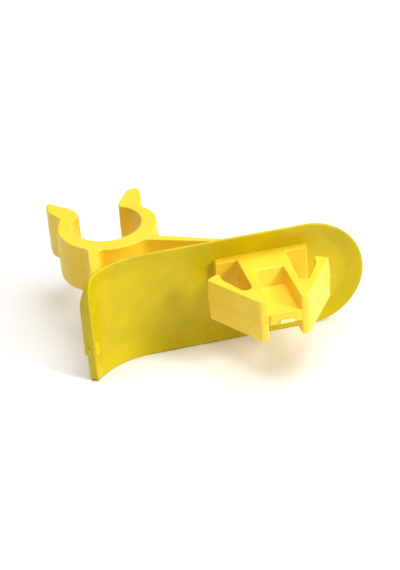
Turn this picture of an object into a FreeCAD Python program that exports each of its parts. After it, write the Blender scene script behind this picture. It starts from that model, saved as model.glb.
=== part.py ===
import FreeCAD, Part
import math
import os
import re
import Sketcher

# Push-fit fence insulator, one yellow plastic moulding, modelled member by member.
# Row frame, millimetres: the origin is the centre of the clamp's bore. +Z runs along the bore, +X runs
# along the shield towards its round end, and -Y points forward, towards the wire holder.
# The plane Z = 0 is the parting plane of the clamp and of the holder.

DIMENSIONS = {
    # clamp: a C-shaped ring that opens backwards, turned a little to the left
    "bore_radius": 9.5,
    "ring_radius": 14.0,
    "ring_offset": 0.65,
    "clamp_height": 13.8,
    "clamp_turn": 5.0,
    "throat_level": 7.6,
    "jaw_angle": 25.0,
    "hinge_gap": 0.15,
    # lead-in lips, from the throat outwards
    "lip_throat_x": 5.75,
    "lip_bend_x": 5.9,
    "lip_bend_y": 9.3,
    "lip_flare_x": 8.2,
    "lip_flare_y": 12.4,
    "lip_crest_x": 11.3,
    "lip_crest_y": 16.2,
    "lip_tip_x": 12.9,
    "lip_tip_y": 15.6,
    "lip_shoulder_x": 13.5,
    "lip_shoulder_y": 12.6,
    "lip_waist_x": 11.3,
    # wire holder: pad, block, two legs, web and two barbs, on its own centre plane
    "holder_x": 36.0,
    "pad_face": 30.2,
    "pad_thick": 2.3,
    "pad_half": 12.7,
    "holder_height": 12.0,
    "block_half": 6.8,
    "block_depth": 6.9,
    "pocket_half": 3.9,
    "nose_inner": 4.15,
    "nose_outer": 6.3,
    "nose_reach": 22.9,
    "nose_slant": 5.6,
    "web_thick": 3.4,
    "notch_x": 7.9,
    "notch_y": 13.7,
    "notch_radius": 1.35,
    "barb_pivot_x": 8.75,
    "barb_pivot_y": 16.9,
    "barb_half": 1.45,
    "barb_slope": 33.1,
    "barb_length": 12.9,
    "barb_inner_x": 12.7,
    "barb_inner_y": 5.3,
    "barb_heel_y": 8.0,
    "barb_gap": 0.12,
    # shield: a shallow dish, straight in the middle, round at its right end, curled forward at its left
    "shield_radius": 15.6,
    "shield_drop": 3.2,
    "shield_end_x": 48.6,
    "shield_bend_x": 4.3,
    "shield_thick": 1.2,
    "rim_width": 4.7,
    "rim_rise": 1.6,
    "tail_radius": 22.5,
    "tail_angle": 52.0,
    "corner_radius": 2.7,
    "bar_angle": 12.0,
    # braces from the clamp to the back of the shield, with a web between them
    "short_root_x": 6.2,
    "short_root_y": 10.25,
    "short_root_half": 1.5,
    "short_root_rise": 1.25,
    "short_foot_x": 8.4,
    "short_foot_half": 1.9,
    "short_foot_y": 33.0,
    "long_root_x": 6.0,
    "long_root_y": 9.95,
    "long_root_half": 2.0,
    "long_root_rise": 0.95,
    "long_foot_x": 41.8,
    "long_foot_half": 1.4,
    "brace_web_thick": 3.4,
    "brace_web_drop": 4.1,
}

# Lengths worked out from the cells. The words are cell names.
OUTER_REACH = "(ring_radius + ring_offset * sin(jaw_angle))"
KNUCKLE = "((" + OUTER_REACH + " - bore_radius) / 2)"
PIVOT_REACH = "((" + OUTER_REACH + " + bore_radius) / 2)"
PIVOT_X = "(" + PIVOT_REACH + " * cos(jaw_angle))"
PIVOT_Y = "(-" + PIVOT_REACH + " * sin(jaw_angle))"
FAR = "(3 * ring_radius)"
FLOOR_FRONT = "(pad_face - pad_thick)"
FLOOR_BACK = "(pad_face - pad_thick - shield_thick)"
FLOOR_HALF = "(shield_radius - rim_width)"
STRAIGHT = "(shield_end_x - shield_bend_x)"
TAIL_BACK = "(tail_radius + shield_thick)"
TAIL_CENTRE_Y = "(-" + FLOOR_FRONT + " - tail_radius)"

document = FreeCAD.newDocument("fence_insulator")
sheet = document.addObject("Spreadsheet::Sheet", "dims")
for row, (name, number) in enumerate(DIMENSIONS.items(), start=1):
    sheet.set("A%d" % row, name)
    sheet.set("B%d" % row, str(number))
    sheet.setAlias("B%d" % row, name)
document.recompute()

sub_parts = []


def bound(text):
    """The expression for a text that is written with bare cell names."""
    return re.sub(r"[a-z_]+", lambda word: "dims." + word[0] if word[0] in DIMENSIONS else word[0], text)


def length_of(text):
    """The present value of such a text."""
    return float(sheet.evalExpression(bound(text)))


def mirrored(text, side):
    """The text for the right side, or its negative for the left side."""
    return text if side > 0 else "-(" + text + ")"


def new_body(label, position=("0", "0", "0"), turn="0"):
    """A body whose own frame is moved, and turned about Z, by the cells."""
    body = document.addObject("PartDesign::Body", label)
    body.Label = label
    body.Placement = FreeCAD.Placement(FreeCAD.Vector(0, 0, 0), FreeCAD.Rotation(FreeCAD.Vector(0, 0, 1), 1))
    for axis, text in zip("xyz", position):
        body.setExpression("Placement.Base." + axis, bound(text))
    body.setExpression("Placement.Rotation.Angle", bound(turn))
    sub_parts.append(body)
    return body


def new_sketch(body, plane="XY_Plane"):
    """An empty sketch on one of the body's own origin planes."""
    sketch = body.newObject("Sketcher::SketchObject", body.Label + "_outline")
    support = [feature for feature in body.Origin.OriginFeatures if feature.Role == plane][0]
    sketch.AttachmentSupport = [(support, "")]
    sketch.MapMode = "FlatFace"
    return sketch


def hold(sketch, kind, geometry, point, text):
    """Ties one size of a sketch to the cells."""
    if text == "0":
        axis = -2 if kind == "DistanceX" else -1
        sketch.addConstraint(Sketcher.Constraint("PointOnObject", geometry, point, axis))
        return
    if kind == "Radius":
        constraint = Sketcher.Constraint(kind, geometry, length_of(text))
    else:
        constraint = Sketcher.Constraint(kind, geometry, point, length_of(text))
    index = sketch.addConstraint(constraint)
    sketch.setExpression("Constraints[%d]" % index, bound(text))


def add_polygon(sketch, corners):
    """A closed outline through corners that are given as pairs of texts."""
    first = sketch.GeometryCount
    places = [FreeCAD.Vector(length_of(x), length_of(y), 0) for x, y in corners]
    count = len(corners)
    for index in range(count):
        sketch.addGeometry(Part.LineSegment(places[index], places[(index + 1) % count]), False)
    for index in range(count):
        following = first + (index + 1) % count
        sketch.addConstraint(Sketcher.Constraint("Coincident", first + index, 2, following, 1))
    for index, (x, y) in enumerate(corners):
        hold(sketch, "DistanceX", first + index, 1, x)
        hold(sketch, "DistanceY", first + index, 1, y)


def add_circle(sketch, x, y, radius):
    """A circle whose centre and radius are given as texts."""
    index = sketch.GeometryCount
    centre = FreeCAD.Vector(length_of(x), length_of(y), 0)
    sketch.addGeometry(Part.Circle(centre, FreeCAD.Vector(0, 0, 1), length_of(radius)), False)
    hold(sketch, "DistanceX", index, 3, x)
    hold(sketch, "DistanceY", index, 3, y)
    hold(sketch, "Radius", index, 3, radius)


def grow(body, sketch, length, kind="PartDesign::Pad", symmetric=True, reverse=False):
    """Pads or pockets a sketch, half to each side of its plane unless told otherwise."""
    feature = body.newObject(kind, body.Label + "_" + kind.split("::")[1].lower())
    feature.Profile = sketch
    feature.SideType = "Symmetric" if symmetric else "One side"
    feature.Reversed = reverse
    feature.setExpression("Length", bound(length))
    document.recompute()
    return feature


def cut_through(body, sketch):
    """Pockets a sketch right through the body, and makes sure that it took something away."""
    before = body.Shape.Volume
    grow(body, sketch, "4 * clamp_height", kind="PartDesign::Pocket")
    if not body.Shape.Volume < before:
        raise RuntimeError("a pocket in " + body.Label + " cut nothing")


def spin(body, sketch, axis, angle, reverse=False):
    """Turns a section about one of its sketch's axes."""
    feature = body.newObject("PartDesign::Revolution", body.Label + "_revolution")
    feature.Profile = sketch
    feature.ReferenceAxis = (sketch, [axis])
    feature.Reversed = reverse
    feature.setExpression("Angle", bound(angle))
    document.recompute()
    return feature


def cut_circle(body, x, y, radius):
    sketch = new_sketch(body)
    add_circle(sketch, x, y, radius)
    cut_through(body, sketch)


def cut_polygon(body, corners):
    sketch = new_sketch(body)
    add_polygon(sketch, corners)
    cut_through(body, sketch)


def pad_polygon(body, corners, height):
    sketch = new_sketch(body)
    add_polygon(sketch, corners)
    grow(body, sketch, height)


def pad_circle(body, x, y, radius, height):
    sketch = new_sketch(body)
    add_circle(sketch, x, y, radius)
    grow(body, sketch, height)


# ---- clamp: saddle, two jaws and two lead-in lips, in the clamp's own turned frame ----

def clamp_saddle():
    """The front of the ring, as far back as the two lines where the jaws flex."""
    body = new_body("clamp_saddle", turn="clamp_turn")
    pad_circle(body, "0", "-ring_offset", "ring_radius", "clamp_height")
    cut_circle(body, "0", "0", "bore_radius")
    cut_polygon(body, [
        ("0", "0"),
        (FAR + " * cos(jaw_angle)", "-" + FAR + " * sin(jaw_angle)"),
        (FAR, FAR),
        ("-" + FAR, FAR),
        ("-" + FAR + " * cos(jaw_angle)", "-" + FAR + " * sin(jaw_angle)"),
    ])
    for side in (-1, 1):
        cut_circle(body, mirrored(PIVOT_X, side), PIVOT_Y, KNUCKLE + " + hinge_gap")


def clamp_jaw(label, side):
    """One side of the ring, from its flex line to the throat."""
    body = new_body(label, turn="clamp_turn")
    pad_circle(body, "0", "-ring_offset", "ring_radius", "clamp_height")
    cut_circle(body, "0", "0", "bore_radius")
    cut_polygon(body, [
        ("0", "0"),
        (mirrored(FAR + " * cos(jaw_angle)", side), "-" + FAR + " * sin(jaw_angle)"),
        (mirrored(FAR, side), "-" + FAR),
        (mirrored("-" + FAR, side), "-" + FAR),
        (mirrored("-" + FAR, side), FAR),
        (mirrored(FAR, side), FAR),
        (mirrored(FAR, side), "throat_level"),
        ("0", "throat_level"),
    ])
    pad_circle(body, mirrored(PIVOT_X, side), PIVOT_Y, KNUCKLE, "clamp_height")


def lead_in_lip(label, side):
    """The flared end of a jaw, which guides the post into the bore."""
    body = new_body(label, turn="clamp_turn")
    pad_polygon(body, [
        (mirrored("lip_throat_x", side), "throat_level"),
        (mirrored("lip_bend_x", side), "lip_bend_y"),
        (mirrored("lip_flare_x", side), "lip_flare_y"),
        (mirrored("lip_crest_x", side), "lip_crest_y"),
        (mirrored("lip_tip_x", side), "lip_tip_y"),
        (mirrored("lip_shoulder_x", side), "lip_shoulder_y"),
        (mirrored("lip_waist_x", side), "throat_level"),
    ], "clamp_height")


# ---- braces: short and long, cut to the ring and to the back of the shield ----

RING_CENTRE = ("ring_offset * sin(clamp_turn)", "-ring_offset * cos(clamp_turn)")
TAIL_CENTRE = ("shield_bend_x", TAIL_CENTRE_Y)
SHORT_ROOT_RIGHT = ("-(short_root_x - short_root_half)", "-(short_root_y + short_root_rise)")
SHORT_FOOT_RIGHT = ("-(short_foot_x - short_foot_half)", "-short_foot_y")
LONG_ROOT_FRONT = ("long_root_x - long_root_half", "-(long_root_y + long_root_rise)")
LONG_FOOT_FRONT = ("long_foot_x - long_foot_half", "-" + FLOOR_BACK)


def brace_short():
    body = new_body("brace_short")
    pad_polygon(body, [
        SHORT_ROOT_RIGHT,
        ("-(short_root_x + short_root_half)", "-(short_root_y - short_root_rise)"),
        ("-(short_foot_x + short_foot_half)", "-short_foot_y"),
        SHORT_FOOT_RIGHT,
    ], "clamp_height")
    cut_circle(body, *RING_CENTRE, "ring_radius")
    cut_circle(body, *TAIL_CENTRE, TAIL_BACK)


def brace_long():
    body = new_body("brace_long")
    pad_polygon(body, [
        ("long_root_x + long_root_half", "-(long_root_y - long_root_rise)"),
        ("long_foot_x + long_foot_half", "-" + FLOOR_BACK),
        LONG_FOOT_FRONT,
        LONG_ROOT_FRONT,
    ], "clamp_height")
    cut_circle(body, *RING_CENTRE, "ring_radius")


def brace_web():
    """The plate that closes the triangle between the braces, below their middle."""
    body = new_body("brace_web", position=("0", "0", "-brace_web_drop"))
    pad_polygon(body, [
        LONG_ROOT_FRONT,
        LONG_FOOT_FRONT,
        ("shield_bend_x", "-" + FLOOR_BACK),
        SHORT_FOOT_RIGHT,
        SHORT_ROOT_RIGHT,
    ], "brace_web_thick")
    cut_circle(body, *RING_CENTRE, "ring_radius")
    cut_circle(body, *TAIL_CENTRE, TAIL_BACK)


# ---- shield: floor and rim in a frame at the centre of the round end, tail about its own bend ----

SHIELD_FRAME = ("shield_end_x", "-" + FLOOR_FRONT, "-shield_drop")
TAIL_FRAME = ("shield_bend_x", TAIL_CENTRE_Y, "-shield_drop")


def shield_floor():
    body = new_body("shield_floor", position=SHIELD_FRAME)
    flat = new_sketch(body, "XZ_Plane")
    add_polygon(flat, [
        ("0", FLOOR_HALF),
        ("-" + STRAIGHT, FLOOR_HALF),
        ("-" + STRAIGHT, "-" + FLOOR_HALF),
        ("0", "-" + FLOOR_HALF),
    ])
    grow(body, flat, "shield_thick", symmetric=False, reverse=True)
    disc = new_sketch(body, "XZ_Plane")
    add_circle(disc, "0", "0", FLOOR_HALF)
    grow(body, disc, "shield_thick", symmetric=False, reverse=True)


def rim_section(sketch, side):
    """The sloping band from the floor's edge out to the shield's edge."""
    add_polygon(sketch, [
        ("0", mirrored(FLOOR_HALF, side)),
        ("shield_thick", mirrored(FLOOR_HALF, side)),
        ("shield_thick - rim_rise", mirrored("shield_radius", side)),
        ("-rim_rise", mirrored("shield_radius", side)),
    ])


def shield_rim():
    body = new_body("shield_rim", position=SHIELD_FRAME)
    around = new_sketch(body, "YZ_Plane")
    rim_section(around, 1)
    spin(body, around, "H_Axis", "180")
    for side in (1, -1):
        along = new_sketch(body, "YZ_Plane")
        rim_section(along, side)
        grow(body, along, STRAIGHT, symmetric=False, reverse=True)


def end_corners(shape):
    """The names of the two short edges at the corners of the tail's free end."""
    tolerance = 0.01
    half_angle = length_of("tail_angle") / 2
    names = []
    for index, edge in enumerate(shape.Edges, start=1):
        ends = [vertex.Point for vertex in edge.Vertexes]
        at_edge = all(abs(abs(end.z) - length_of("shield_radius")) < tolerance for end in ends)
        at_free_end = all(math.degrees(math.atan2(-end.x, end.y)) > half_angle for end in ends)
        short = edge.Length < length_of("shield_thick") + tolerance
        if at_edge and at_free_end and short:
            names.append("Edge%d" % index)
    if len(names) != 2:
        raise RuntimeError("the tail has two corners to round, not %d" % len(names))
    return names


def shield_tail():
    """The left end of the dish, curled forward about an upright axis."""
    body = new_body("shield_tail", position=TAIL_FRAME)
    section = new_sketch(body, "YZ_Plane")
    front = "tail_radius - rim_rise"
    add_polygon(section, [
        (front, "shield_radius"),
        (front + " + shield_thick", "shield_radius"),
        (TAIL_BACK, FLOOR_HALF),
        (TAIL_BACK, "-" + FLOOR_HALF),
        (front + " + shield_thick", "-shield_radius"),
        (front, "-shield_radius"),
        ("tail_radius", "-" + FLOOR_HALF),
        ("tail_radius", FLOOR_HALF),
    ])
    curl = spin(body, section, "V_Axis", "tail_angle")
    corners = end_corners(curl.Shape)
    rounding = body.newObject("PartDesign::Fillet", "shield_tail_corners")
    rounding.Base = (curl, corners)
    rounding.setExpression("Radius", bound("corner_radius"))
    document.recompute()


def tail_bar():
    """The thick part of the tail's free end, where the dish closes."""
    body = new_body("tail_bar", position=TAIL_FRAME, turn="tail_angle - bar_angle")
    section = new_sketch(body, "YZ_Plane")
    add_polygon(section, [
        ("tail_radius - rim_rise", FLOOR_HALF),
        ("tail_radius", FLOOR_HALF),
        ("tail_radius", "-" + FLOOR_HALF),
        ("tail_radius - rim_rise", "-" + FLOOR_HALF),
    ])
    spin(body, section, "V_Axis", "bar_angle")


# ---- wire holder: in a frame on its centre plane, at the front face of its pad ----

HOLDER_FRAME = ("holder_x", "-pad_face", "0")
BARB_BACK_X = "(barb_pivot_x + barb_half * cos(barb_slope))"
BARB_BACK_Y = "(-barb_pivot_y - barb_half * sin(barb_slope))"


def holder_pad():
    body = new_body("holder_pad", position=HOLDER_FRAME)
    pad_polygon(body, [
        ("pad_half", "0"),
        ("pad_half", "pad_thick"),
        ("-pad_half", "pad_thick"),
        ("-pad_half", "0"),
    ], "holder_height")


def holder_block():
    body = new_body("holder_block", position=HOLDER_FRAME)
    pad_polygon(body, [
        ("block_half", "0"),
        ("-block_half", "0"),
        ("-block_half", "-block_depth"),
        ("block_half", "-block_depth"),
    ], "holder_height")


def holder_leg(label, side):
    """A leg from the block to the nose, with the bottom of the wire notch in its flank."""
    body = new_body(label, position=HOLDER_FRAME)
    pad_polygon(body, [
        (mirrored("pocket_half", side), "-block_depth"),
        (mirrored("nose_inner", side), "-nose_reach"),
        (mirrored("nose_outer", side), "-nose_reach"),
        (mirrored(BARB_BACK_X + " - nose_slant * sin(barb_slope)", side),
         BARB_BACK_Y + " - nose_slant * cos(barb_slope)"),
        (mirrored(BARB_BACK_X, side), BARB_BACK_Y),
        (mirrored("barb_pivot_x", side), "-barb_pivot_y"),
        (mirrored("notch_x", side), "-notch_y"),
        (mirrored("notch_x - notch_radius", side), "-notch_y"),
        (mirrored("block_half", side), "-block_depth"),
    ], "holder_height")
    cut_circle(body, mirrored("notch_x", side), "-notch_y", "notch_radius")
    cut_circle(body, mirrored("barb_pivot_x", side), "-barb_pivot_y", "barb_half + barb_gap")


def holder_web():
    """The plate that joins the two legs, across their parting plane."""
    body = new_body("holder_web", position=HOLDER_FRAME)
    pad_polygon(body, [
        ("pocket_half", "-block_depth"),
        ("-pocket_half", "-block_depth"),
        ("-nose_inner", "-nose_reach"),
        ("nose_inner", "-nose_reach"),
    ], "web_thick")


def barb(label, side):
    """A wing that sweeps back from the nose and keeps the wire in its notch."""
    body = new_body(label, position=HOLDER_FRAME)
    pad_polygon(body, [
        (mirrored(BARB_BACK_X, side), BARB_BACK_Y),
        (mirrored(BARB_BACK_X + " + barb_length * sin(barb_slope)", side),
         BARB_BACK_Y + " + barb_length * cos(barb_slope)"),
        (mirrored("barb_inner_x", side), "-barb_inner_y"),
        (mirrored("barb_inner_x", side), "-barb_heel_y"),
        (mirrored("notch_x + notch_radius", side), "-notch_y"),
        (mirrored("notch_x", side), "-notch_y"),
        (mirrored("barb_pivot_x", side), "-barb_pivot_y"),
    ], "holder_height")
    cut_circle(body, mirrored("notch_x", side), "-notch_y", "notch_radius")
    pad_circle(body, mirrored("barb_pivot_x", side), "-barb_pivot_y", "barb_half", "holder_height")


clamp_saddle()
brace_short()
brace_long()
brace_web()
shield_floor()
shield_rim()
shield_tail()
tail_bar()
holder_pad()
holder_block()
holder_web()
for word, side in (("left", -1), ("right", 1)):
    clamp_jaw("clamp_jaw_" + word, side)
    lead_in_lip("lead_in_lip_" + word, side)
    holder_leg("holder_leg_" + word, side)
    barb("barb_" + word, side)

document.recompute()
for item in document.Objects:
    if "Invalid" in item.State or "Error" in item.State:
        raise RuntimeError(item.Label + " failed to build")
for body in sub_parts:
    if body.Shape.isNull() or not body.Shape.isValid():
        raise RuntimeError(body.Label + " has no valid shape")

os.makedirs("parts", exist_ok=True)
for body in sub_parts:
    body.Shape.exportStep("parts/" + body.Label + ".step")
    box = body.Shape.BoundBox
    print("%-18s %8.1f mm3   X %6.1f %6.1f   Y %6.1f %6.1f   Z %6.1f %6.1f" % (
        body.Label, body.Shape.Volume, box.XMin, box.XMax, box.YMin, box.YMax, box.ZMin, box.ZMax))
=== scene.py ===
import bpy
import math
from mathutils import Matrix, Vector


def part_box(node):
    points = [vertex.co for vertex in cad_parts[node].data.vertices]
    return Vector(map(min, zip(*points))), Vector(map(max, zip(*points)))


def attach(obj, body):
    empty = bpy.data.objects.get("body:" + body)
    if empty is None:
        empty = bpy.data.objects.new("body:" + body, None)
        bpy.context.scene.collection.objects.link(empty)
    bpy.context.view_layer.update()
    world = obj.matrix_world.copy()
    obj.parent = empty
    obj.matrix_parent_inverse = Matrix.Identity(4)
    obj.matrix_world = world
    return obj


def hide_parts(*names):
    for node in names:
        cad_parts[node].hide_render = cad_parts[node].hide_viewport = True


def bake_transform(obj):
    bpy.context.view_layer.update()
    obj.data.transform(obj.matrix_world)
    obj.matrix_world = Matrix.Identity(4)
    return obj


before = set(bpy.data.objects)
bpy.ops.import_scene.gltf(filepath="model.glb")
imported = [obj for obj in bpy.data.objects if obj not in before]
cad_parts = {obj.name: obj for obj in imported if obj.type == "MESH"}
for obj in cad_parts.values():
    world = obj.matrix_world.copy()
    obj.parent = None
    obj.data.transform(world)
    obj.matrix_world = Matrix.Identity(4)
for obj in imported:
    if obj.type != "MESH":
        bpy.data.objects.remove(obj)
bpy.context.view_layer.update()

# Push-fit fence insulator, one yellow plastic moulding. All lengths below are in millimetres in the CAD's
# frame: origin at the centre of the clamp's bore, +Z along the bore, -Y forward, +X to the round end.
MM = 0.001


def node_box(node):
    """The lowest and highest corner of a CAD node, in millimetres."""
    low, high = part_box(node)
    return Vector(low) / MM, Vector(high) / MM


SADDLE_HIGH = node_box("clamp_saddle")[1]
PAD_LOW, PAD_HIGH = node_box("holder_pad")
RIM_LOW, RIM_HIGH = node_box("shield_rim")
FLOOR_LOW, FLOOR_HIGH = node_box("shield_floor")
WEB_LOW, WEB_HIGH = node_box("holder_web")
BRACE_WEB_LOW, BRACE_WEB_HIGH = node_box("brace_web")

CLAMP_HALF = SADDLE_HIGH.z
HOLDER = Vector(((PAD_LOW.x + PAD_HIGH.x) / 2, PAD_LOW.y))
HOLDER_HALF = PAD_HIGH.z
SHIELD_Z = (RIM_LOW.z + RIM_HIGH.z) / 2
SHIELD_RADIUS = (RIM_HIGH.z - RIM_LOW.z) / 2
FLOOR_RADIUS = (FLOOR_HIGH.z - FLOOR_LOW.z) / 2
END_X = RIM_HIGH.x - SHIELD_RADIUS
BEND_X = FLOOR_LOW.x
FRONT_Y = FLOOR_LOW.y
SKIN = FLOOR_HIGH.y - FLOOR_LOW.y

BORE = 9.5
RING = 14.25
CLAMP_TURN = 5.0
RING_CENTRE = Matrix.Rotation(math.radians(CLAMP_TURN), 2) @ Vector((0.0, -0.65))
HINGE_ANGLE = 25.0
HINGE_REACH = 11.887
TAIL_RADIUS = 22.5
TAIL_ANGLE = 52.0
TAIL_CENTRE = Vector((BEND_X, FRONT_Y - TAIL_RADIUS))
TAIL_START = BEND_X - TAIL_RADIUS * math.radians(TAIL_ANGLE)


# ---- plan outlines ----

def polar(centre, radius, angle):
    turn = math.radians(angle)
    return Vector(centre) + radius * Vector((math.cos(turn), math.sin(turn)))


def arc(centre, radius, start, stop, gap=0.75):
    """Points along an arc, with its angles in degrees."""
    count = max(2, math.ceil(abs(math.radians(stop - start)) * radius / gap))
    return [polar(centre, radius, start + (stop - start) * i / count) for i in range(count + 1)]


def run(*points, gap=1.4):
    """Points along straight runs."""
    line = [Vector(points[0])]
    for a, b in zip(points, points[1:]):
        a, b = Vector(a), Vector(b)
        count = max(1, math.ceil((b - a).length / gap))
        line += [a.lerp(b, i / count) for i in range(1, count + 1)]
    return line


def shorten(line, length):
    """The line without its first few millimetres."""
    line = list(line)
    while length > 0:
        step = (line[1] - line[0]).length
        if step > length:
            line[0] = line[0].lerp(line[1], length / step)
            return line
        length -= step
        line.pop(0)
    return line


def meet(start, towards, centre, radius):
    """Where the ray from start first meets the circle."""
    heading = (Vector(towards) - Vector(start)).normalized()
    offset = Vector(start) - Vector(centre)
    half = offset.dot(heading)
    root = math.sqrt(half * half - offset.length_squared + radius * radius)
    return Vector(start) + heading * min(d for d in (-half - root, -half + root) if d > 0)


def bearing(point, centre):
    """The angle of a point seen from a centre, in degrees."""
    offset = Vector(point) - Vector(centre)
    return math.degrees(math.atan2(offset.y, offset.x))


SOFT_STEPS = 7
MITRE_LIMIT = 1.6
SHALLOW_CORNER = 0.35


def outward(heading):
    """The unit normal to the right of a heading."""
    return Vector((heading.y, -heading.x)).normalized()


class Outline:
    """A closed outline, counterclockwise, of named chains with a soft corner after each.
    A chain is (name, points, softness, draft of the upper half, draft of the lower half).
    The plain chains have no ledge along the parting line."""

    def __init__(self, chains, plain=()):
        self.points, self.drafts, self.corners, self.ledges, self.first, self.last = [], [], [], [], {}, {}
        count = len(chains)
        lines = []
        for i, chain in enumerate(chains):
            length = sum((b - a).length for a, b in zip(chain[1], chain[1][1:]))
            if length <= chains[i - 1][2] + chain[2]:
                raise ValueError("%s is %.2f long, too short for its soft corners" % (chain[0], length))
            line = shorten(chain[1], chains[i - 1][2])
            lines.append(shorten(line[::-1], chain[2])[::-1])
        for i, (name, line, soft, upper, lower) in enumerate(chains):
            following = chains[(i + 1) % count]
            ledge, next_ledge = (0.0 if chain[0] in plain else 1.0 for chain in (chains[i], following))
            kept = lines[i] if soft else lines[i][:-1]
            self.first[name] = len(self.points)
            self.points += kept
            self.drafts += [(upper, lower)] * len(kept)
            self.corners += [None] * len(kept)
            self.ledges += [ledge] * len(kept)
            self.last[name] = len(self.points) - (1 if soft else 0)
            if soft:
                a, corner, b = lines[i][-1], line[-1], lines[(i + 1) % count][0]
                meeting = (outward(corner - a), outward(b - corner), (upper, lower), following[3:])
                for step in range(1, SOFT_STEPS):
                    t = step / SOFT_STEPS
                    self.points.append(a * (1 - t) ** 2 + corner * (2 * t * (1 - t)) + b * t ** 2)
                    self.drafts.append((upper + (following[3] - upper) * t,
                                        lower + (following[4] - lower) * t))
                    self.corners.append(meeting)
                    self.ledges.append(ledge + (next_ledge - ledge) * t)
        self.size = len(self.points)
        self.normals, self.offsets, self.shifts = [], [], []
        for i in range(self.size):
            before = outward(self.points[i] - self.points[i - 1])
            after = outward(self.points[(i + 1) % self.size] - self.points[i])
            total = before + after
            self.normals.append(total.normalized())
            self.offsets.append(total.normalized() * min(MITRE_LIMIT, 2 / max(total.length, 0.1)))
        for i in range(self.size):
            self.shifts.append([self.shift(i, half) for half in (0, 1)])

    def shift(self, i, half):
        """How a point moves from the parting plane to the top or bottom. A soft corner moves as one."""
        meeting = self.corners[i]
        if meeting is None:
            return -self.offsets[i] * self.drafts[i][half]
        n, m, before, after = meeting
        across = n.x * m.y - n.y * m.x
        if abs(across) < SHALLOW_CORNER:
            return -self.normals[i] * self.drafts[i][half]
        a, b = -before[half], -after[half]
        return Vector(((a * m.y - b * n.y) / across, (b * n.x - a * m.x) / across))

    def span(self, start, stop):
        """The indices from one to another, going round past the end where needed."""
        return [i % self.size for i in range(start, stop + 1 + (self.size if stop < start else 0))]


# ---- meshes ----

def add_mesh(name, points, faces, normals, material):
    """A mesh object from points in millimetres, with one normal for each corner of each face."""
    mesh = bpy.data.meshes.new(name)
    mesh.from_pydata([Vector(p) * MM for p in points], [], faces)
    mesh.shade_smooth()
    mesh.normals_split_custom_set([Vector(n).normalized() for n in normals])
    mesh.materials.append(material)
    piece = bpy.data.objects.new(name, mesh)
    bpy.context.scene.collection.objects.link(piece)
    return piece


ROUND_STEPS = 3
LIP_HEIGHT = 0.5
FIN_HALF = 0.07


def profile(up, down, edge_up=0.45, edge_down=0.45, lip=0.0, step=0.0, fin=0.0):
    """The upright section of a moulded wall: a list of bands, each of rings (height, inset, ledge, draft
    share, lean, fixed elevation or None). Lean 1 faces straight up or down, 0 follows the drafted wall."""
    lower = []
    for i in range(ROUND_STEPS, -1, -1):
        turn = math.radians(90 * i / ROUND_STEPS)
        height = -down + edge_down * (1 - math.sin(turn))
        lower.append((height, edge_down * (1 - math.cos(turn)), step, -height / down, -i / ROUND_STEPS, None))
    joint = FIN_HALF if fin else 0.0
    lower.append((-joint, 0, step, 0, 0, None))
    middle = []
    if fin:
        middle.append([(-joint, 0, step, 0, 0, -60), (-joint / 3, -fin, 0, 0, 0, -20)])
        middle.append([(-joint / 3, -fin, 0, 0, 0, -20), (joint / 3, -fin, 0, 0, 0, 20)])
        middle.append([(joint / 3, -fin, 0, 0, 0, 20), (joint, 0, 0, 0, 0, 60)])
    elif step:
        middle.append([(0, 0, step, 0, 0, -90), (0, 0, 0, 0, 0, -90)])
    if lip:
        tilt = math.degrees(math.atan2(lip, LIP_HEIGHT))
        middle.append([(joint, 0, 0, 0, 0, tilt), (LIP_HEIGHT, 0, lip, 0, 0, tilt)])
    upper = [(LIP_HEIGHT if lip else joint, 0, lip, 0, 0, None)]
    for i in range(ROUND_STEPS + 1):
        turn = math.radians(90 * i / ROUND_STEPS)
        height = up - edge_up * (1 - math.sin(turn))
        upper.append((height, edge_up * (1 - math.cos(turn)), lip, height / up, i / ROUND_STEPS, None))
    bands = list(zip(lower, lower[1:])) + middle + list(zip(upper, upper[1:]))
    return {"up": up, "down": down, "bands": bands}


def plan_place(origin=(0, 0, 0)):
    """Puts an outline in the XY plane, with its heights along Z."""
    return lambda p, h: Vector(origin) + Vector((p.x, p.y, h))


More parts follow.
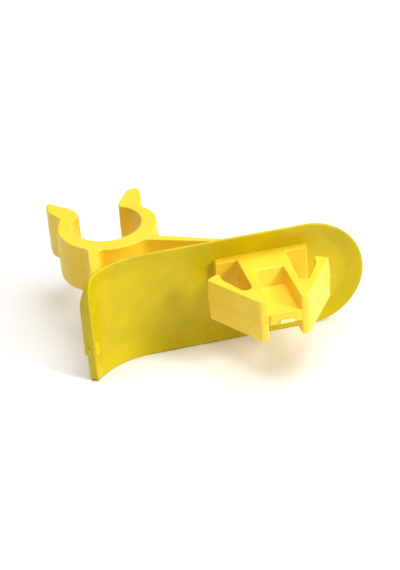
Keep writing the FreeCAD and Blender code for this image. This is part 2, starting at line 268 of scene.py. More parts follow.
def wall(name, outline, section, spans, material, place=None, closed=False):
    """The part of a moulded wall between the given spans of its outline. A flat face closes each gap from
    one span to the next, where the neighbouring member begins."""
    place = place or plan_place()
    zero = place(Vector((0, 0)), 0)
    keys, points, faces, normals = {}, [], [], []

    def corner(index, ring):
        height, inset, ledge, share, lean, fixed = ring
        shift = outline.shifts[index][0 if height > 0 else 1]
        inset += ledge * outline.ledges[index]
        p = outline.points[index] - outline.offsets[index] * inset + shift * share
        key = (index, round(height, 4), round(inset, 4))
        if key not in keys:
            keys[key] = len(points)
            points.append(place(p, height))
        return keys[key]

    def facing(index, ring):
        height, inset, ledge, share, lean, fixed = ring
        upper, lower = (-shift.dot(outline.normals[index]) for shift in outline.shifts[index])
        if fixed is not None:
            tilt = math.radians(fixed) * outline.ledges[index]
        elif height > 0:
            base = math.atan2(upper, section["up"])
            tilt = base + (math.pi / 2 - base) * lean
        else:
            base = -math.atan2(lower, section["down"])
            tilt = base + (math.pi / 2 + base) * lean
        n = outline.normals[index] * math.cos(tilt)
        return place(n, math.sin(tilt)) - zero

    def add(corners, facings):
        kept = [i for i, c in enumerate(corners) if corners.index(c) == i]
        if len(kept) > 2:
            faces.append([corners[i] for i in kept])
            normals.extend(facings[i] for i in kept)

    bottom, top = section["bands"][0][0], section["bands"][-1][1]
    around = [i for span in spans for i in span]
    for low, high in section["bands"]:
        for span in spans:
            pairs = list(zip(span, span[1:] + span[:1])) if closed else list(zip(span, span[1:]))
            for a, b in pairs:
                ring = [(a, low), (b, low), (b, high), (a, high)]
                add([corner(*c) for c in ring], [facing(*c) for c in ring])
        if not closed:
            for span, following in zip(spans, spans[1:] + spans[:1]):
                a, b = span[-1], following[0]
                along = outline.points[b] - outline.points[a]
                flat = place(Vector((along.y, -along.x)), 0) - zero
                ring = [(a, low), (b, low), (b, high), (a, high)]
                add([corner(*c) for c in ring], [flat] * 4)
    up = place(Vector((0, 0)), 1) - zero
    add([corner(i, top) for i in around], [up] * len(around))
    add([corner(i, bottom) for i in reversed(around)], [-up] * len(around))
    return add_mesh(name, points, faces, normals, material)


# ---- materials: tints of one satin polyethylene, and a painted highlight on the gate ----

def plastic(name, dark, light, gloss_low, gloss_high, specular):
    """Plastic with flow streaks in its tint, a fine grain in its gloss, and a slight orange peel."""
    material = bpy.data.materials.new(name)
    material.use_nodes = True
    tree = material.node_tree
    shader = tree.nodes["Principled BSDF"]
    shader.inputs["IOR"].default_value = 1.5
    shader.inputs["Specular IOR Level"].default_value = specular
    coords = tree.nodes.new("ShaderNodeTexCoord")

    def noise(scale, detail, roughness=0.5):
        node = tree.nodes.new("ShaderNodeTexNoise")
        node.inputs["Scale"].default_value = scale
        node.inputs["Detail"].default_value = detail
        node.inputs["Roughness"].default_value = roughness
        tree.links.new(coords.outputs["Object"], node.inputs["Vector"])
        return node.outputs["Fac"]

    def spread(value, low, high, to_low, to_high):
        node = tree.nodes.new("ShaderNodeMapRange")
        for key, number in zip(("From Min", "From Max", "To Min", "To Max"), (low, high, to_low, to_high)):
            node.inputs[key].default_value = number
        tree.links.new(value, node.inputs["Value"])
        return node.outputs["Result"]

    flow = noise(130.0, 3.0)
    grain = noise(1500.0, 4.0, 0.6)
    tint = tree.nodes.new("ShaderNodeMix")
    tint.data_type = "RGBA"
    tint.inputs["A"].default_value = (*dark, 1)
    tint.inputs["B"].default_value = (*light, 1)
    tree.links.new(spread(flow, 0.3, 0.7, 0.0, 1.0), tint.inputs["Factor"])
    tree.links.new(tint.outputs["Result"], shader.inputs["Base Color"])
    tree.links.new(spread(grain, 0.3, 0.7, gloss_low, gloss_high), shader.inputs["Roughness"])
    peel = tree.nodes.new("ShaderNodeBump")
    peel.inputs["Strength"].default_value = 0.5
    peel.inputs["Distance"].default_value = 0.00012
    tree.links.new(noise(380.0, 3.0, 0.6), peel.inputs["Height"])
    speckle = tree.nodes.new("ShaderNodeBump")
    speckle.inputs["Strength"].default_value = 0.35
    speckle.inputs["Distance"].default_value = 0.00003
    tree.links.new(grain, speckle.inputs["Height"])
    tree.links.new(peel.outputs["Normal"], speckle.inputs["Normal"])
    tree.links.new(speckle.outputs["Normal"], shader.inputs["Normal"])
    return material


THICK = plastic("satin_yellow_thick", (0.91, 0.62, 0.024), (0.96, 0.675, 0.036), 0.36, 0.5, 0.45)
THIN = plastic("satin_yellow_thin", (0.57, 0.445, 0.001), (0.66, 0.515, 0.002), 0.27, 0.4, 0.25)
# the gate's real gloss is its low roughness; its lighter, whiter tint is a painted highlight
GATE_HIGHLIGHT_PAINT = plastic("glossy_yellow_gate_painted_highlight", (0.95, 0.74, 0.20), (0.98, 0.84, 0.36), 0.14, 0.26, 0.6)
MARK = plastic("satin_yellow_mark", (0.70, 0.56, 0.012), (0.76, 0.61, 0.020), 0.24, 0.36, 0.4)


def settle(piece, body, *nodes):
    """The piece rides on a body and stands for these CAD nodes."""
    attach(piece, body)
    if nodes:
        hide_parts(*nodes)
    return piece


def bend(piece, body, pivot, heading, length, *nodes):
    """Bakes the piece's placement into its mesh and hides the CAD nodes it stands for; body, pivot, heading
    and length are not used.
    """
    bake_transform(piece)
    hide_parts(*nodes)
    return piece


# ---- clamp and braces: one outline, cut into members ----

def clamp(x, y):
    """A point in the clamp's own plan, turned a little with the clamp."""
    return Matrix.Rotation(math.radians(CLAMP_TURN), 2) @ Vector((x, y))


def ring_bearing(angle):
    """The angle about the ring's outer centre of the point on it at this angle about the bore."""
    far = polar((0, 0), 40, angle)
    return bearing(meet(far, (0, 0), RING_CENTRE, RING), RING_CENTRE)


SHORT_LEFT = (Vector((-10.3, -33.0)), Vector((-7.75, -9.0)))
SHORT_RIGHT = (Vector((-6.5, -33.0)), Vector((-4.5, -11.5)))
LONG_FRONT = (Vector((40.4, -26.7)), Vector((4.0, -10.9)))
LONG_BACK = (Vector((43.2, -26.7)), Vector((8.0, -9.0)))
SUNK = 0.3
FLARE = 1.7
FLARE_DEGREES = 3.6
FOOT_DEPTH = 0.5
PLATE_BACK = FRONT_Y + SKIN - SUNK
TAIL_BACK = TAIL_RADIUS + SKIN - SUNK


def on_plate(edge):
    """Where a long brace's edge ends, just inside the plate."""
    foot, root = edge
    return foot.lerp(root, (PLATE_BACK - foot.y) / (root.y - foot.y))


short_left = meet(SHORT_LEFT[0], SHORT_LEFT[1], TAIL_CENTRE, TAIL_BACK)
short_right = meet(SHORT_RIGHT[0], SHORT_RIGHT[1], TAIL_CENTRE, TAIL_BACK)
left_foot_angle = bearing(short_left, TAIL_CENTRE) + FLARE_DEGREES
right_foot_angle = bearing(short_right, TAIL_CENTRE) - FLARE_DEGREES
short_left_side = polar(TAIL_CENTRE, TAIL_BACK, left_foot_angle)
short_right_side = polar(TAIL_CENTRE, TAIL_BACK, right_foot_angle)
short_left_deep = polar(TAIL_CENTRE, TAIL_BACK - FOOT_DEPTH, left_foot_angle)
short_right_deep = polar(TAIL_CENTRE, TAIL_BACK - FOOT_DEPTH, right_foot_angle)
long_front, long_back = on_plate(LONG_FRONT), on_plate(LONG_BACK)
deep = Vector((0, -FOOT_DEPTH))
aside = Vector((FLARE, 0))

joint_short_left = meet(short_left, SHORT_LEFT[1], RING_CENTRE, RING)
joint_short_right = meet(short_right, SHORT_RIGHT[1], RING_CENTRE, RING)
joint_long_front = meet(long_front, LONG_FRONT[1], RING_CENTRE, RING)
joint_long_back = meet(long_back, LONG_BACK[1], RING_CENTRE, RING)
seam_right = ring_bearing(CLAMP_TURN - HINGE_ANGLE)
seam_left = ring_bearing(CLAMP_TURN + 180 + HINGE_ANGLE) % 360
waist_right_start = polar(RING_CENTRE, RING, 12.0)
waist_left_stop = polar(RING_CENTRE, RING, 163.0)
bore_end = math.degrees(math.atan2(7.6, 5.75))

LIPS_AND_BORE = (
    "shoulder_right", "tip_right", "crest_right", "flare_right", "throat_right",
    "bore_right", "bore_front", "bore_left",
    "throat_left", "flare_left_low", "flare_left", "crest_left", "tip_left", "shoulder_left",
)
ARMS = Outline([
    ("ring_right_low", arc(RING_CENTRE, RING, bearing(joint_long_back, RING_CENTRE), seam_right),
     0, 0.4, 0.12),
    ("ring_right_high", arc(RING_CENTRE, RING, seam_right, 12.0), 1.2, 0.4, 0.12),
    ("waist_right", run(waist_right_start, clamp(11.75, 5.6)), 1.1, 0.3, 0.1),
    ("shoulder_right", run(clamp(11.75, 5.6), clamp(13.85, 12.5)), 1.4, 0.1, 0.1),
    ("tip_right", run(clamp(13.85, 12.5), clamp(13.95, 15.8)), 1.0, 0.1, 0.1),
    ("crest_right", run(clamp(13.95, 15.8), clamp(10.5, 15.95)), 0.8, 0.1, 0.1),
    ("flare_right", run(clamp(10.5, 15.95), clamp(5.9, 9.2)), 0.6, 0.1, 0.1),
    ("throat_right", run(clamp(5.9, 9.2), clamp(5.75, 7.6)), 0.4, 0.1, 0.1),
    ("bore_right", arc((0, 0), BORE, CLAMP_TURN + bore_end, CLAMP_TURN - HINGE_ANGLE), 0, 0.08, 0.08),
    ("bore_front", arc((0, 0), BORE, CLAMP_TURN - HINGE_ANGLE, CLAMP_TURN - 180 + HINGE_ANGLE),
     0, 0.08, 0.08),
    ("bore_left", arc((0, 0), BORE, CLAMP_TURN - 180 + HINGE_ANGLE, CLAMP_TURN - 180 - bore_end),
     0.4, 0.08, 0.08),
    ("throat_left", run(clamp(-5.75, 7.6), clamp(-5.85, 9.6)), 0.8, 0.1, 0.1),
    ("flare_left_low", run(clamp(-5.85, 9.6), clamp(-7.2, 12.5)), 1.2, 0.1, 0.1),
    ("flare_left", run(clamp(-7.2, 12.5), clamp(-12.0, 18.15)), 0.8, 0.1, 0.1),
    ("crest_left", run(clamp(-12.0, 18.15), clamp(-13.0, 17.1)), 0.5, 0.1, 0.1),
    ("tip_left", run(clamp(-13.0, 17.1), clamp(-13.46, 12.6)), 1.2, 0.05, 0.05),
    ("shoulder_left", run(clamp(-13.46, 12.6), clamp(-11.5, 8.0)), 1.2, 0.2, 0.1),
    ("waist_left", run(clamp(-11.5, 8.0), waist_left_stop), 1.2, 0.3, 0.1),
    ("ring_left_high", arc(RING_CENTRE, RING, 163.0, seam_left), 0, 0.4, 0.12),
    ("ring_left_low", arc(RING_CENTRE, RING, seam_left, bearing(joint_short_left, RING_CENTRE) % 360),
     1.6, 0.4, 0.12),
    ("short_left", run(joint_short_left, short_left), 1.2, 0.2, 0.2),
    ("short_left_flare", run(short_left, short_left_side), 0, 0.0, 0.0),
    ("short_left_foot", run(short_left_side, short_left_deep), 0, 0.0, 0.0),
    ("short_foot", run(short_left_deep, short_right_deep), 0, 0.0, 0.0),
    ("short_right_foot", run(short_right_deep, short_right_side), 0, 0.0, 0.0),
    ("short_right_flare", run(short_right_side, short_right), 1.2, 0.0, 0.0),
    ("short_right", run(short_right, joint_short_right), 1.5, 0.2, 0.2),
    ("ring_front", arc(RING_CENTRE, RING, bearing(joint_short_right, RING_CENTRE),
                       bearing(joint_long_front, RING_CENTRE)), 1.7, 0.35, 0.2),
    ("long_front", run(joint_long_front, long_front), 1.3, 0.2, 0.2),
    ("long_front_flare", run(long_front, long_front - aside), 0, 0.0, 0.0),
    ("long_front_foot", run(long_front - aside, long_front - aside + deep), 0, 0.0, 0.0),
    ("long_foot", run(long_front - aside + deep, long_back + aside + deep), 0, 0.0, 0.0),
    ("long_back_foot", run(long_back + aside + deep, long_back + aside), 0, 0.0, 0.0),
    ("long_back_flare", run(long_back + aside, long_back), 1.3, 0.0, 0.0),
    ("long_back", run(long_back, joint_long_back), 2.2, 0.2, 0.2),
], plain=LIPS_AND_BORE)
CLAMP_SECTION = profile(CLAMP_HALF, CLAMP_HALF, 0.4, 0.2, lip=0.14, step=0.18)
first, last, span = ARMS.first, ARMS.last, ARMS.span

saddle = wall("saddle", ARMS, CLAMP_SECTION, [
    span(last["long_back"], last["ring_right_low"]),
    span(first["bore_front"], last["bore_front"]),
    span(last["ring_left_high"], first["short_left"]),
    span(last["short_right"], first["long_front"]),
], THICK)
settle(saddle, "frame", "clamp_saddle")
settle(wall("short_brace", ARMS, CLAMP_SECTION, [span(first["short_left"], last["short_right"])], THICK),
       "frame", "brace_short")
settle(wall("long_brace", ARMS, CLAMP_SECTION, [span(first["long_front"], last["long_back"])], THICK),
       "frame", "brace_long")

JAW_BEND = 7.5
pivot_right = polar((0, 0), HINGE_REACH, CLAMP_TURN - HINGE_ANGLE)
pivot_left = polar((0, 0), HINGE_REACH, CLAMP_TURN + 180 + HINGE_ANGLE)
up_right = Vector((-pivot_right.y, pivot_right.x)).normalized()
up_left = Vector((pivot_left.y, -pivot_left.x)).normalized()
bend(wall("right_jaw", ARMS, CLAMP_SECTION, [
    span(first["ring_right_high"], first["shoulder_right"]),
    span(first["bore_right"], first["bore_front"]),
], THICK), "jaw_right", pivot_right, up_right, JAW_BEND, "clamp_jaw_right")
bend(wall("left_jaw", ARMS, CLAMP_SECTION, [
    span(last["bore_front"], last["bore_left"]),
    span(first["waist_left"], last["ring_left_high"]),
], THICK), "jaw_left", pivot_left, up_left, JAW_BEND, "clamp_jaw_left")
settle(wall("right_lip", ARMS, CLAMP_SECTION, [span(first["shoulder_right"], first["bore_right"])], THICK),
       "jaw_right", "lead_in_lip_right")
settle(wall("left_lip", ARMS, CLAMP_SECTION, [span(last["bore_left"], first["waist_left"])], THICK),
       "jaw_left", "lead_in_lip_left")

# the web low between the braces, its edges inside them
GUSSET = Outline([
    ("tail", arc(TAIL_CENTRE, TAIL_BACK, 119.0, 90.0, 1.5), 0, 0.0, 0.0),
    ("plate", run((BEND_X, PLATE_BACK), (40.6, PLATE_BACK)), 0, 0.0, 0.0),
    ("brace", run((40.6, PLATE_BACK), (7.0, -11.4)), 0, 0.0, 0.0),
    ("ring", run((7.0, -11.4), (0.0, -13.2), (-5.6, -12.0)), 0, 0.0, 0.0),
    ("short", run((-5.6, -12.0), polar(TAIL_CENTRE, TAIL_BACK, 119.0)), 0, 0.0, 0.0),
])
gusset_half = (BRACE_WEB_HIGH.z - BRACE_WEB_LOW.z) / 2
gusset_z = (BRACE_WEB_HIGH.z + BRACE_WEB_LOW.z) / 2
settle(wall("brace_gusset", GUSSET, profile(gusset_half, gusset_half, 0.2, 0.2),
            [GUSSET.span(0, GUSSET.size - 1)], THICK, plan_place((0, 0, gusset_z)), closed=True),
       "frame", "brace_web")


# ---- wire holder: one outline, cut into members ----

def mirrored(chains):
    """The same chains on the left side, in counterclockwise order."""
    flipped = []
    for i in range(len(chains) - 1, -1, -1):
        name, line, _, upper, lower = chains[i]
        soft = chains[i - 1][2] if i else 0
        flipped.append([name + "_left", [Vector((-p.x, p.y)) for p in reversed(line)], soft, upper, lower])
    return flipped


NOSE_Y = -22.78
NOTCH = Vector((7.95, -13.75))
NOTCH_RADIUS = 1.35
BLOCK_BACK = 0.95
RIGHT_SIDE = [
    ("nose", run((4.15, NOSE_Y), (6.5, NOSE_Y)), 0.9, 0.15, 0.1),
    ("face_low", run((6.5, NOSE_Y), (9.6, -18.1)), 0, 0.2, 0.15),
    ("face_high", run((9.6, -18.1), (16.95, -6.95)), 0.7, 0.2, 0.15),
    ("tip", run((16.95, -6.95), (13.7, -4.75)), 0.65, 0.2, 0.2),
    ("heel", run((13.7, -4.75), (12.7, -5.5)), 0.4, 0.2, 0.2),
    ("inner_high", run((12.7, -5.5), (12.5, -8.2)), 0.9, 0.15, 0.15),
    ("inner_low", run((12.5, -8.2), polar(NOTCH, NOTCH_RADIUS, -30)), 0, 0.15, 0.15),
    ("notch_far", arc(NOTCH, NOTCH_RADIUS, -30, -115, 0.3), 0, 0.15, 0.15),
    ("notch_near", arc(NOTCH, NOTCH_RADIUS, -115, -180, 0.3), 0, 0.15, 0.15),
    ("leg", run((NOTCH.x - NOTCH_RADIUS, NOTCH.y), (6.75, -6.9)), 0, 0.2, 0.2),
    ("block_side", run((6.75, -6.9), (6.9, 0.1)), 0.7, 0.2, 0.2),
    ("block_flare", run((6.9, 0.1), (7.8, 0.1)), 0, 0.0, 0.0),
    ("block_base", run((7.8, 0.1), (7.8, BLOCK_BACK)), 0, 0.0, 0.0),
]
LEFT_SIDE = mirrored(RIGHT_SIDE)
LEFT_SIDE[-1][2] = 0.75
HOLDER_OUTLINE = Outline(
    RIGHT_SIDE
    + [("back", run((7.8, BLOCK_BACK), (-7.8, BLOCK_BACK)), 0, 0.0, 0.0)]
    + LEFT_SIDE
    + [("inside_left", run((-4.15, NOSE_Y), (-3.85, -10.0)), 1.0, 0.25, 0.25),
       ("pocket", run((-3.85, -10.0), (3.85, -10.0)), 1.0, 3.2, 3.2),
       ("inside_right", run((3.85, -10.0), (4.15, NOSE_Y)), 0.75, 0.25, 0.25)])
HOLDER_SECTION = profile(HOLDER_HALF, HOLDER_HALF, 0.4, 0.25, step=0.1, fin=0.07)
on_holder = plan_place((HOLDER.x, HOLDER.y, 0))
first, last, span = HOLDER_OUTLINE.first, HOLDER_OUTLINE.last, HOLDER_OUTLINE.span


def holder_wall(name, spans):
    """A member of the wire holder, cut from its outline."""
    return wall(name, HOLDER_OUTLINE, HOLDER_SECTION, spans, THICK, on_holder)


BARB_PIVOT = Vector((8.75, -16.9))
BARB_HEADING = Vector((0.806, 0.592))
BARB_BEND = 4.0
settle(holder_wall("block", [
    span(first["block_side"], first["leg_left"]),
    span(last["inside_left"], first["inside_right"]),
]), "frame", "holder_block")
settle(holder_wall("right_leg", [
    span(first["inside_right"], first["face_high"]),
    span(first["notch_near"], first["block_side"]),
]), "frame", "holder_leg_right")
settle(holder_wall("left_leg", [
    span(first["leg_left"], last["notch_near_left"]),
    span(first["face_low_left"], last["inside_left"]),
]), "frame", "holder_leg_left")
bend(holder_wall("right_barb", [span(first["face_high"], first["notch_near"])]), "wing_right",
     HOLDER + BARB_PIVOT, BARB_HEADING, BARB_BEND, "barb_right")
bend(holder_wall("left_barb", [span(last["notch_near_left"], first["face_low_left"])]), "wing_left",
     HOLDER + Vector((-BARB_PIVOT.x, BARB_PIVOT.y)), Vector((-BARB_HEADING.x, BARB_HEADING.y)), BARB_BEND,
     "barb_left")

web_half = (WEB_HIGH.z - WEB_LOW.z) / 2
POCKET_WEB = Outline([
    ("front", run((-4.5, NOSE_Y + 0.12), (4.5, NOSE_Y + 0.12)), 0, 0.1, 0.1),
    ("right", run((4.5, NOSE_Y + 0.12), (4.5, -8.0)), 0, 0.0, 0.0),
    ("back", run((4.5, -8.0), (-4.5, -8.0)), 0, 0.0, 0.0),
    ("left", run((-4.5, -8.0), (-4.5, NOSE_Y + 0.12)), 0, 0.0, 0.0),
])
settle(wall("pocket_web", POCKET_WEB, profile(web_half, web_half, 0.3, 0.3, step=0.05, fin=0.1),
            [POCKET_WEB.span(0, POCKET_WEB.size - 1)], THICK, on_holder, closed=True), "frame", "holder_web")

# the broken-off gate, a small glossy bump low on the front of the web; its lighter, whiter tint is a painted
# highlight
GATE = Outline([
    ("low", run((-1.9, -1.45), (1.9, -1.45)), 0.3, 0.0, 0.0),
    ("right", run((1.9, -1.45), (1.9, -0.3)), 0.3, 0.0, 0.0),
    ("high", run((1.9, -0.3), (-1.9, -0.3)), 0.3, 0.0, 0.0),
    ("left", run((-1.9, -0.3), (-1.9, -1.45)), 0.3, 0.0, 0.0),
])
gate_front = HOLDER.y + NOSE_Y + 0.12
settle(wall("gate_with_painted_highlight", GATE, profile(0.22, 0.4, 0.12, 0.05), [GATE.span(0, GATE.size - 1)], GATE_HIGHLIGHT_PAINT,
            lambda p, h: Vector((HOLDER.x + 0.5 + p.x, gate_front - h, p.y)), closed=True), "frame")

pad_half = (PAD_HIGH.x - PAD_LOW.x) / 2
pad_thick = PAD_HIGH.y - PAD_LOW.y
PAD = Outline([
    ("bottom", run((-pad_half, -HOLDER_HALF), (pad_half, -HOLDER_HALF)), 0.6, 0.1, 0.0),
    ("right", run((pad_half, -HOLDER_HALF), (pad_half, HOLDER_HALF)), 0.6, 0.1, 0.0),
    ("top", run((pad_half, HOLDER_HALF), (-pad_half, HOLDER_HALF)), 0.6, 0.15, 0.0),
    ("left", run((-pad_half, HOLDER_HALF), (-pad_half, -HOLDER_HALF)), 0.6, 0.1, 0.0),
])
settle(wall("pad", PAD, profile(pad_thick, SUNK, 0.35, 0.1), [PAD.span(0, PAD.size - 1)], THICK,
            lambda p, h: Vector((HOLDER.x + p.x, PAD_HIGH.y - h, p.y)), closed=True), "frame", "holder_pad")


# ---- shield: a skin between a front and a back surface, cut into members ----

UPPER_CORNER = 5.0
LOWER_CORNER = 1.1
NARROW_FROM = 8.0
RIM_RISE = 1.85
RIM_WIDTH = SHIELD_RADIUS - FLOOR_RADIUS
FOLD_SOFTNESS = 0.22
EDGE_ROUND = 0.4
EDGE_THICK = 1.07
BAR_WIDTH = 4.7
FRONT_CLOSING = 6.5
BACK_CLOSING = 5.5
CRESCENT_THICK = 2.15
CRESCENT_TOP = 15.5
CRESCENT_STEP = -7.9
CRESCENT_LOW = 0.68
LINE_HEIGHT = 0.11
LINE_WIDTH = 0.33
LINE_FADE = 2.5


def smooth(value):
    """A soft step from 0 to 1."""
    value = min(1.0, max(0.0, value))
    return value * value * (3 - 2 * value)


def margin(s, z):
    """How far a point of the plate is from the plate's outline."""
    if s > END_X:
        return SHIELD_RADIUS - math.hypot(s - END_X, z)
    side, end = SHIELD_RADIUS - abs(z), s - TAIL_START
    corner = UPPER_CORNER if z > 0 else LOWER_CORNER
    if side < corner and end < corner:
        return corner - math.hypot(corner - side, corner - end)
    return min(side, end)


def rim_rise(s, z):
    """How far the sloping rim stands forward of the floor."""
    edge = SHIELD_RADIUS - (math.hypot(s - END_X, z) if s > END_X else abs(z))
    slope = (RIM_WIDTH - edge) * RIM_RISE / RIM_WIDTH
    return 0.5 * (slope + math.hypot(slope, FOLD_SOFTNESS))


def edge_round(s, z):
    """How far the rounded edge falls back at a point near the plate's outline."""
    near = min(EDGE_ROUND, max(0.0, margin(s, z)))
    return EDGE_ROUND - math.sqrt(max(0.0, EDGE_ROUND ** 2 - (EDGE_ROUND - near) ** 2))


def sink_line(s, z, level, start, stop):
    """A faint raised line where a web behind the plate shrank as it set."""
    fade = smooth((s - start) / LINE_FADE) * smooth((stop - s) / LINE_FADE)
    return LINE_HEIGHT * fade * math.exp(-((z - level) / LINE_WIDTH) ** 2)


def front_depth(s, z):
    """Depth of the front surface. Towards the free end the whole width closes up to the rim's height."""
    closing = smooth(1 - (s - TAIL_START) / FRONT_CLOSING)
    rise = rim_rise(s, z)
    rise += (max(RIM_RISE, rise) - rise) * closing
    rise += sink_line(s, z, 0.7, -11.0, 4.0) + sink_line(s, z, -2.8, -2.0, 10.0)
    return edge_round(s, z) - rise


def back_depth(s, z):
    """Depth of the back surface. A crescent at the free end is thicker than the rest."""
    rise = rim_rise(s, z)
    thick = SKIN + (EDGE_THICK - SKIN) * smooth((rise - 0.3) / 1.2)
    step = CRESCENT_LOW + (1 - CRESCENT_LOW) * smooth((z - CRESCENT_STEP) / 1.1)
    crescent = smooth((CRESCENT_TOP - z) / 9.0) * step
    end_thick = EDGE_THICK + CRESCENT_THICK * crescent
    closing = smooth(1 - (s - TAIL_START) / BACK_CLOSING)
    depth = (thick - rise) * (1 - closing) + (end_thick - RIM_RISE) * closing
    return depth - edge_round(s, z)


def on_shield(s, z, depth):
    """A point of the plate: s along it, z from its middle, depth behind its floor's front face."""
    if s >= BEND_X:
        return Vector((s, FRONT_Y + depth, SHIELD_Z + z))
    turned = (BEND_X - s) / TAIL_RADIUS
    reach = TAIL_RADIUS + depth
    plan = TAIL_CENTRE + reach * Vector((-math.sin(turned), math.cos(turned)))
    return Vector((plan.x, plan.y, SHIELD_Z + z))


def spaced(start, stop, gap):
    """Evenly spaced values from start up to, but without, stop."""
    count = max(1, round((stop - start) / gap))
    return [start + (stop - start) * i / count for i in range(count)]


EDGE_STEPS = [EDGE_ROUND * (1 - math.sin(math.radians(a))) for a in (0, 30, 60, 90)]
ROWS = (spaced(0, 3.5, 0.35) + spaced(3.5, 9.3, 1.1) + spaced(9.3, 12.4, 0.35)
        + spaced(12.4, SHIELD_RADIUS - EDGE_ROUND, 0.7) + [SHIELD_RADIUS - e for e in EDGE_STEPS])
STATIONS = ([TAIL_START + e for e in reversed(EDGE_STEPS)] + spaced(TAIL_START + 0.6, TAIL_START + 6.6, 0.4)
            + spaced(TAIL_START + 6.6, BEND_X, 0.9) + spaced(BEND_X, 12.0, 0.9)
            + spaced(12.0, END_X, 2.2) + [END_X])


def narrowed(s, row, corner):
    """Rows close in at the rounded corners of the free end."""
    end = corner - (s - TAIL_START)
    if end <= 0 or row <= NARROW_FROM:
        return row
    widest = SHIELD_RADIUS - corner + math.sqrt(max(0.0, corner ** 2 - end ** 2))
    return NARROW_FROM + (row - NARROW_FROM) * (widest - NARROW_FROM) / (SHIELD_RADIUS - NARROW_FROM)


spokes = [[(s, narrowed(s, r, UPPER_CORNER)) for r in ROWS] for s in STATIONS]
spokes += [[(END_X + r * math.cos(math.radians(a)), r * math.sin(math.radians(a))) for r in ROWS]
           for a in range(86, -90, -4)]
spokes += [[(s, -narrowed(s, r, LOWER_CORNER)) for r in ROWS] for s in reversed(STATIONS)]

grid, cells, places = {}, [], []


def grid_point(s, z):
    """The index of a grid point, made on first use."""
    key = (round(s, 3), round(z, 3))
    if key not in grid:
        grid[key] = len(places)
        places.append((s, z))
    return grid[key]


for spoke, following in zip(spokes, spokes[1:]):
    for j in range(len(ROWS) - 1):
        ring = [grid_point(*spoke[j]), grid_point(*following[j]),
                grid_point(*following[j + 1]), grid_point(*spoke[j + 1])]
        ring = [c for i, c in enumerate(ring) if ring.index(c) == i]
        if len(ring) > 2:
            cells.append(ring)

FRONTS = [on_shield(s, z, front_depth(s, z)) for s, z in places]
BACKS = [on_shield(s, z, back_depth(s, z)) for s, z in places]


def skin(chosen):
    """Faces of a closed shell over the chosen cells: front, back, and a wall along every open side."""
    count = len(places)
    sides = {}
    for ring in chosen:
        for a, b in zip(ring, ring[1:] + ring[:1]):
            sides[(a, b)] = ring
    open_sides = [side for side in sides if side[::-1] not in sides]
    front = [list(ring) for ring in chosen]
    back = [[count + c for c in reversed(ring)] for ring in chosen]
    walls = [[b, a, count + a, count + b] for a, b in open_sides]
    return front, back, walls


whole_front, whole_back, whole_walls = skin(cells)
guide = bpy.data.meshes.new("shield_guide")
guide.from_pydata(FRONTS + BACKS, [], whole_front + whole_back + whole_walls)
guide.update()
guide.shade_smooth()
guide.set_sharp_from_angle(angle=math.radians(50))
corner_normals = {}
for face in guide.polygons:
    for loop in face.loop_indices:
        facing = guide.corner_normals[loop].vector.copy()
        corner_normals[(frozenset(face.vertices), guide.loops[loop].vertex_index)] = facing
bpy.data.meshes.remove(guide)


def shield_piece(name, chosen):
    """A closed member of the shield from the chosen cells, with the whole shield's normals."""
    front, back, walls = skin(chosen)
    used = sorted({c for face in front + back + walls for c in face})
    renumber = {c: i for i, c in enumerate(used)}
    points = FRONTS + BACKS
    faces, normals = [], []
    for face in front + back + walls:
        a, b, c = (points[face[i]] for i in range(3))
        flat = (b - a).cross(c - b)
        faces.append([renumber[c] for c in face])
        normals += [corner_normals.get((frozenset(face), c), flat) for c in face]
    return add_mesh(name, [points[c] for c in used], faces, normals, THIN)


def middle(ring):
    """The middle of a cell: s, and its distance from the plate's centre line or end centre."""
    s = sum(places[c][0] for c in ring) / len(ring)
    z = sum(places[c][1] for c in ring) / len(ring)
    return s, math.hypot(max(0.0, s - END_X), z)


members = {"dish_floor": [], "dish_rim": [], "dish_tail": [], "tail_end": []}
for ring in cells:
    s, r = middle(ring)
    if s > BEND_X:
        members["dish_floor" if r < FLOOR_RADIUS else "dish_rim"].append(ring)
    else:
        members["tail_end" if r < FLOOR_RADIUS and s < TAIL_START + BAR_WIDTH else "dish_tail"].append(ring)
for name, node in (("dish_floor", "shield_floor"), ("dish_rim", "shield_rim"),
                   ("dish_tail", "shield_tail"), ("tail_end", "tail_bar")):
    settle(shield_piece(name, members[name]), "frame", node)

# ---- small marks of the mould on the tail ----

DISC_RADIUS = 1.85
DISC = Outline([("rim", arc((0, 0), DISC_RADIUS, 0, 360, 0.3), 0, 0.0, 0.0)])
disc_s, disc_z = TAIL_START + 2.0, -6.3
disc_centre, disc_aside, disc_above = (
    on_shield(s, z, front_depth(s, z))
    for s, z in ((disc_s, disc_z), (disc_s + 0.6, disc_z), (disc_s, disc_z + 0.6)))
disc_along = (disc_aside - disc_centre).normalized()
disc_out = disc_along.cross(disc_above - disc_centre).normalized()
disc_up = disc_out.cross(disc_along)
settle(wall("ejector_mark", DISC, profile(0.26, 0.7, 0.1, 0.05), [DISC.span(0, DISC.size - 1)], MARK,
            lambda p, h: disc_centre + disc_along * p.x + disc_up * p.y + disc_out * h, closed=True), "frame")
NUB = Outline([
    ("outer", run((-0.75, -1.0), (0.5, -0.9)), 0.25, 0.0, 0.0),
    ("low", run((0.5, -0.9), (0.6, 0.5)), 0.25, 0.0, 0.0),
    ("high", run((0.6, 0.5), (-0.75, 1.4)), 0.25, 0.0, 0.0),
    ("side", run((-0.75, 1.4), (-0.75, -1.0)), 0.2, 0.0, 0.0),
])
nub_centre = on_shield(TAIL_START, -6.4, 0.3)
end_turn = math.radians(TAIL_ANGLE)
nub_out = Vector((-math.cos(end_turn), -math.sin(end_turn), 0))
nub_back = Vector((-math.sin(end_turn), math.cos(end_turn), 0))
settle(wall("gate_vestige", NUB, profile(0.40, 0.6, 0.15, 0.15), [NUB.span(0, NUB.size - 1)], THIN,
            lambda p, h: nub_centre - nub_back * p.x + Vector((0, 0, p.y)) + nub_out * h, closed=True),
       "frame")

# ---- stage, light and camera ----

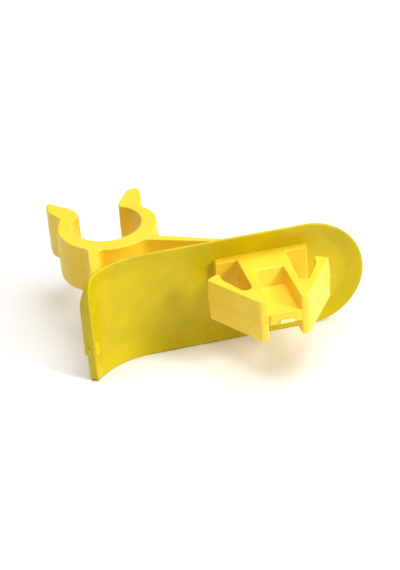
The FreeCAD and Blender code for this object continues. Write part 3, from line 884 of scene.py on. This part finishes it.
scene = bpy.context.scene
FLOOR_GAP = 0.05
floor_z = (RIM_LOW.z - FLOOR_GAP) * MM
floor_mesh = bpy.data.meshes.new("floor")
WIDE = 3.0
floor_corners = [(x, y, floor_z) for x, y in ((-WIDE, -WIDE), (WIDE, -WIDE), (WIDE, WIDE), (-WIDE, WIDE))]
floor_mesh.from_pydata(floor_corners, [], [(0, 1, 2, 3)])
paper = bpy.data.materials.new("pale_floor")
paper.use_nodes = True
paper.node_tree.nodes["Principled BSDF"].inputs["Base Color"].default_value = (0.95, 0.95, 0.95, 1)
paper.node_tree.nodes["Principled BSDF"].inputs["Roughness"].default_value = 0.9
paper.node_tree.nodes["Principled BSDF"].inputs["Specular IOR Level"].default_value = 0.1
floor_mesh.materials.append(paper)
floor = bpy.data.objects.new("floor", floor_mesh)
scene.collection.objects.link(floor)

world = bpy.data.worlds.new("studio")
world.use_nodes = True
world.node_tree.nodes["Background"].inputs["Color"].default_value = (1, 1, 1, 1)
world.node_tree.nodes["Background"].inputs["Strength"].default_value = 0.27
scene.world = world


def softbox(name, towards, distance, size, power):
    """A square area light that faces the holder from a direction."""
    lamp = bpy.data.lights.new(name, "AREA")
    lamp.size = size
    lamp.energy = power
    lit = bpy.data.objects.new(name, lamp)
    heading = Vector(towards).normalized()
    lit.location = Vector((HOLDER.x, HOLDER.y, 0)) * MM + heading * distance
    lit.rotation_euler = heading.to_track_quat("Z", "Y").to_euler()
    scene.collection.objects.link(lit)


softbox("top", (0.12, 0.1, 1.0), 1.0, 1.0, 10.5)
softbox("key", (0.62, -0.58, 0.5), 1.0, 0.22, 6.2)
softbox("side", (0.97, -0.2, 0.18), 1.0, 0.2, 0.7)

scene.view_settings.view_transform = "Standard"

AZIMUTH = -13.14
ELEVATION = 31.6
ROLL = 3.71
DISTANCE = 503.8
PAN = 1.894
TILT = 0.317
LENS = 119.2
azimuth, elevation, roll = (math.radians(a) for a in (AZIMUTH, ELEVATION, ROLL))
away = Vector((math.cos(elevation) * math.sin(azimuth), -math.cos(elevation) * math.cos(azimuth),
               math.sin(elevation)))
level = Vector((math.cos(azimuth), math.sin(azimuth), 0))
upright = away.cross(level)
right = level * math.cos(roll) - upright * math.sin(roll)
above = level * math.sin(roll) + upright * math.cos(roll)
aim = Vector((math.tan(math.radians(PAN)), math.tan(math.radians(TILT)), -1))
camera_data = bpy.data.cameras.new("camera")
camera_data.lens = LENS
camera_data.clip_start = 0.01
camera = bpy.data.objects.new("camera", camera_data)
turned = Matrix((right, above, away)).transposed() @ aim.rotation_difference(Vector((0, 0, -1))).to_matrix()
place = (Vector((HOLDER.x, HOLDER.y, 0)) + away * DISTANCE) * MM
camera.matrix_world = Matrix.Translation(place) @ turned.to_4x4()
scene.collection.objects.link(camera)
scene.camera = camera

bpy.context.view_layer.update()
